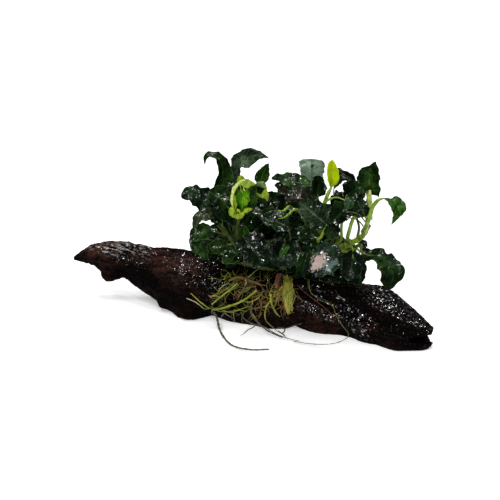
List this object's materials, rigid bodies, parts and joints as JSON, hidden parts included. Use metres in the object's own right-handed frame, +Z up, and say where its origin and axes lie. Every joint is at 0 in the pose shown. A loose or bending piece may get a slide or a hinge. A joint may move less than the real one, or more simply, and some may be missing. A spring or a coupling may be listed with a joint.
{
  "type": "anubias plant on driftwood",
  "caption": "Aquarium anubias with glossy curled leaves, its rhizome and bare roots grown over a long piece of dark driftwood.",
  "frame": {"origin": "middle of the flat underside of the driftwood, on the surface that it lies on", "axes": "+X along the driftwood towards its cracked end, +Z up out of the flat underside, and -Y is the front with the roots"},
  "size_m": [0.285, 0.1062, 0.1384],
  "materials": {
    "wet_wood": "wet, near black brown, grainy",
    "stem_green": "smooth, light green",
    "pale_sheath": "papery, pale yellow green",
    "dark_leaf": "glossy wet, very dark green",
    "bright_leaf": "glossy wet, fresh green",
    "olive_leaf": "satin, olive green underside",
    "teal_leaf": "glossy wet, bluish green",
    "silver_leaf": "glossy wet, grey green sheen",
    "brown_leaf": "glossy wet, brown mottled green",
    "patched_leaf": "wet, with a pinkish white film",
    "young_leaf": "glossy, yellow green",
    "lime_leaf": "satin, bright lime",
    "root_tan": "smooth, yellow green to tan"
  },
  "bodies": {
    "root": {"driftwood": "wet_wood", "rhizome": "stem_green", "shoot_left": "stem_green", "shoot_centre": "stem_green", "shoot_middle": "stem_green", "sheath": "pale_sheath", "root_crown": "root_tan", "root_stub": "root_tan", "root_main_left": "root_tan", "root_left_upper": "root_tan", "root_front_drop": "root_tan", "root_pair": "root_tan", "root_orange": "root_tan", "root_low_drop": "root_tan", "root_right_drop": "root_tan", "root_loop": "root_tan", "leaf_left_hook": "dark_leaf", "leaf_left_arch": "dark_leaf", "leaf_far_left": "dark_leaf", "leaf_left_broad": "dark_leaf", "leaf_left_olive": "olive_leaf", "leaf_left_low": "dark_leaf", "leaf_left_hanging": "bright_leaf", "leaf_left_inner": "dark_leaf", "leaf_left_cup": "dark_leaf", "leaf_young_curled": "young_leaf", "leaf_young_folded": "young_leaf", "leaf_small_bright": "bright_leaf", "leaf_front_dark": "dark_leaf", "leaf_pale_tip": "bright_leaf", "leaf_green_triangle": "bright_leaf", "leaf_centre_reach": "dark_leaf", "leaf_dark_behind": "dark_leaf", "leaf_mottled": "brown_leaf", "leaf_centre_left": "dark_leaf", "leaf_centre_under": "bright_leaf", "leaf_centre_teal": "teal_leaf", "leaf_centre_front": "dark_leaf", "leaf_low_middle": "dark_leaf", "leaf_silver": "silver_leaf", "leaf_grey_small": "silver_leaf", "leaf_diagonal": "teal_leaf", "leaf_curved_grey": "silver_leaf", "leaf_young_upright": "lime_leaf", "leaf_dark_arch": "dark_leaf", "leaf_blue_grey": "silver_leaf", "leaf_middle_dark": "dark_leaf", "leaf_right_teal": "teal_leaf", "leaf_right_droop": "dark_leaf", "leaf_right_shiny": "dark_leaf", "leaf_right_hanging": "dark_leaf", "leaf_patched": "patched_leaf", "leaf_upper_right": "dark_leaf", "leaf_far_right": "bright_leaf", "leaf_back_left": "dark_leaf", "leaf_back_centre": "dark_leaf", "leaf_back_middle": "dark_leaf", "leaf_back_right": "dark_leaf"}
  },
  "joints": []
}
